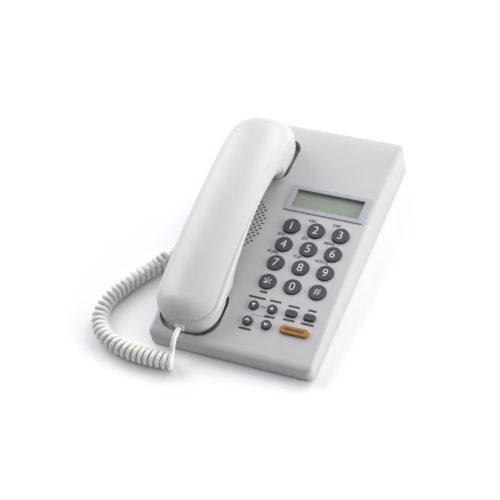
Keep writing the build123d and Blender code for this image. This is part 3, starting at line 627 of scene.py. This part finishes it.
def key_top(node):
    """Middle of a key's top face and the way it faces."""
    joint = next(j for j in frame["joints"] if j["child"] == node)
    normal = -Vector(joint["axis"]).normalized()
    corners = [v.co for v in nodes[node].data.vertices]
    height = max(c.dot(normal) for c in corners)
    top = [c for c in corners if height - c.dot(normal) < KEY_TOP_FLAT]
    return sum(top, Vector()) / len(top), normal


def plane_at(place, normal):
    """Matrix that puts a flat drawing on a surface, its up away from the user."""
    across = Vector((1, 0, 0))
    across = (across - normal * across.dot(normal)).normalized()
    return Matrix.Translation(place) @ Matrix((across, normal.cross(across), normal)).transposed().to_4x4()


def lettering(name, text, size, weight):
    """Flat raised characters, centred on the origin."""
    data = bpy.data.curves.new(name, "FONT")
    data.body = text
    data.size = size
    data.align_x = "CENTER"
    data.align_y = "CENTER"
    data.extrude = PRINT_THICKNESS / 2
    data.offset = weight
    letters = bpy.data.objects.new(name, data)
    bpy.context.scene.collection.objects.link(letters)
    mesh = bpy.data.meshes.new_from_object(letters)
    bpy.data.objects.remove(letters)
    low = [min(v.co[i] for v in mesh.vertices) for i in range(2)]
    high = [max(v.co[i] for v in mesh.vertices) for i in range(2)]
    middle = Vector(((low[0] + high[0]) / 2, (low[1] + high[1]) / 2, 0))
    mesh.transform(Matrix.Translation(-middle))
    piece = bpy.data.objects.new(name, mesh)
    bpy.context.scene.collection.objects.link(piece)
    return piece


def outline_piece(name, outline):
    """Flat raised shape from its outline, in millimetres about the origin."""
    count = len(outline)
    half = PRINT_THICKNESS / 2
    vertices = [Vector((x * MM, y * MM, z)) for z in (-half, half) for x, y in outline]
    faces = [tuple(range(count, 2 * count)), tuple(reversed(range(count)))]
    faces += [(k, (k + 1) % count, count + (k + 1) % count, count + k) for k in range(count)]
    return mesh_piece(name, vertices, faces, smooth=False)


def bar(name, width, height):
    """Rounded bar that stands for a printed word."""
    radius = height / 2
    outline = []
    for cx, start in ((width / 2 - radius, -90), (-width / 2 + radius, 90)):
        for k in range(9):
            angle = math.radians(start + 180 * k / 8)
            outline.append((cx + radius * math.cos(angle), radius * math.sin(angle)))
    return outline_piece(name, outline)


def print_on(piece, place, normal, body, material):
    """Lays a printed mark on a surface, clear of it by a hair."""
    piece.matrix_world = plane_at(place + normal * PRINT_CLEARANCE, normal)
    piece.data.materials.clear()
    piece.data.materials.append(material)
    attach(piece, body)


def key_marks():
    """White characters on the dial keys and pictograms on the round ones."""
    for node, text in DIGITS.items():
        place, normal = key_top(node)
        size = SIGN_SIZES.get(text, DIGIT_SIZE)
        mark = lettering("mark_" + node, text, size * MM, DIGIT_WEIGHT * MM)
        print_on(mark, place, normal, node, PRINT_WHITE)
    for node, outline in (("scroll_down_key", TRIANGLE), ("scroll_up_key", turned(TRIANGLE)),
                          ("volume_key", turned(ARROW)), ("mute_key", ARROW)):
        place, normal = key_top(node)
        print_on(outline_piece("mark_" + node, outline), place, normal, node, PRINT_WHITE)
    place, normal = key_top("speakerphone_key")
    print_on(bar("label_speakerphone_key", *SPEAKERPHONE_BAR), place, normal, "speakerphone_key", PRINT_BROWN)


def painted_hole_shades():
    """Black discs in the cups' faces over the receiver and the microphone: painted shade where the sound holes
    are.
    """
    skin = tree_of(bpy.data.objects["handset_cradle"])
    (ear_radius, ring_radius), (mouth_radius, spacing) = EAR_HOLES, MOUTH_HOLES
    ear = sum(EAR_Y) / 2
    holes = [(x, y, ear_radius) for x, y in [(0.0, ear)] + round_points(0.0, ear, ring_radius, 6)]
    holes += [(x, MOUTH_HOLES_Y, mouth_radius) for x in (-spacing, 0.0, spacing)]
    for k, (x, y, radius) in enumerate(holes):
        place, normal, _, _ = skin.ray_cast(Vector((HANDSET_X + x, y, 0)) * MM, Vector((0, 0, 1)))
        circle = round_points(0.0, 0.0, radius, 24)
        # each black disc is painted shade standing for the dark depth of a sound hole
        shade_disc = outline_piece("painted_hole_shade_%d" % (k + 1), circle)
        print_on(shade_disc, place, normal, "handset", MATERIALS["black_plastic"])


def panel_marks():
    """Letters over the dial keys, and plain bars where words are printed on the panel."""
    panel = tree_of(nodes["top_housing"])

    def on_panel(x, y):
        place, normal, _, _ = panel.ray_cast(Vector((x, y, cad_box[1][2])), Vector((0, 0, -1)))
        return place, normal

    for node, text in LETTERS.items():
        low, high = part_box(node)
        place, normal = on_panel((low.x + high.x) / 2 + LETTER_PLACE[0] * MM, high.y + LETTER_PLACE[1] * MM)
        letters = lettering("letters_" + node, text, LETTER_SIZE * MM, LETTER_WEIGHT * MM)
        print_on(letters, place, normal, "base", PRINT_GREY)
    for node, over, under in BARS:
        low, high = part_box(node)
        for side, width, y in (("over", over, high.y + BAR_GAP * MM), ("under", under, low.y - BAR_GAP * MM)):
            if width:
                place, normal = on_panel((low.x + high.x) / 2, y)
                label = bar(f"label_{side}_{node}", width, BAR_HEIGHT)
                print_on(label, place, normal, "base", PRINT_GREY)
    for name, first, second, width, height, rise in LINES:
        boxes = [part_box(node) for node in (first, second)]
        middle = sum(((low + high) / 2 for low, high in boxes), Vector()) / 2
        place, normal = on_panel(middle.x, middle.y + rise * MM)
        print_on(bar(name, width, height), place, normal, "base", PRINT_GREY)


# ---------------------------------------------------------------- floor and light
FLOOR_REACH = 40.0        # metres each way from the phone, so that no edge comes into view
FLOOR_DROP = 0.02 * MM    # keeps the floor just clear of the feet


def make_stage():
    """Plain white floor under the phone."""
    corners = [(-1, -1), (1, -1), (1, 1), (-1, 1)]
    floor = mesh_piece("floor", [(x * FLOOR_REACH, y * FLOOR_REACH, 0) for x, y in corners],
                       [(0, 1, 2, 3)], smooth=False)
    floor.location.z = -FLOOR_DROP
    floor.data.materials.append(moulded_plastic("floor_paper", (0.86, 0.86, 0.865), (0.865, 0.865, 0.87),
                                                (0.75, 0.85), 900.0, 0.000010, 0.2))


def area_light(name, place, aim, size, power, colour=(1, 1, 1)):
    """Soft square light."""
    data = bpy.data.lights.new(name, "AREA")
    data.shape = "SQUARE"
    data.size = size
    data.energy = power
    data.color = colour
    light = bpy.data.objects.new(name, data)
    light.location = place
    light.rotation_euler = (Vector(aim) - Vector(place)).to_track_quat("-Z", "Y").to_euler()
    bpy.context.scene.collection.objects.link(light)


def make_light():
    """Large lights at the back, the right and the left, and a bright sky over a darker front."""
    area_light("key_light", (0.40, 1.00, 1.10), (0, 0, 0), 1.0, 11.0)
    area_light("side_light", (1.50, 0.05, 0.40), (0, 0, 0), 0.9, 24.0)
    area_light("left_light", (-1.30, 0.45, 0.90), (0, 0, 0), 1.3, 20.0, (0.97, 0.99, 1.0))
    world = bpy.data.worlds.new("surround")
    world.use_nodes = True
    bpy.context.scene.world = world
    tree = world.node_tree
    coordinates = tree.nodes.new("ShaderNodeTexCoord")
    lean = tree.nodes.new("ShaderNodeVectorMath")
    lean.operation = "DOT_PRODUCT"
    lean.inputs[1].default_value = (-0.25, 0.60, 0.76)
    ramp = tree.nodes.new("ShaderNodeValToRGB")
    ramp.color_ramp.elements[0].position = 0.05
    ramp.color_ramp.elements[0].color = (0.10, 0.105, 0.11, 1)
    ramp.color_ramp.elements[1].position = 0.85
    ramp.color_ramp.elements[1].color = (0.90, 0.92, 0.95, 1)
    tree.links.new(coordinates.outputs["Generated"], lean.inputs[0])
    tree.links.new(lean.outputs["Value"], ramp.inputs["Fac"])
    tree.links.new(ramp.outputs["Color"], tree.nodes["Background"].inputs["Color"])
    tree.nodes["Background"].inputs["Strength"].default_value = 0.8


# ---------------------------------------------------------------- the scene
make_camera()
paint_cad()
curly_cord()
handset_shells()
key_marks()
panel_marks()
painted_hole_shades()
make_stage()
make_light()
bpy.context.scene.view_settings.view_transform = "Standard"
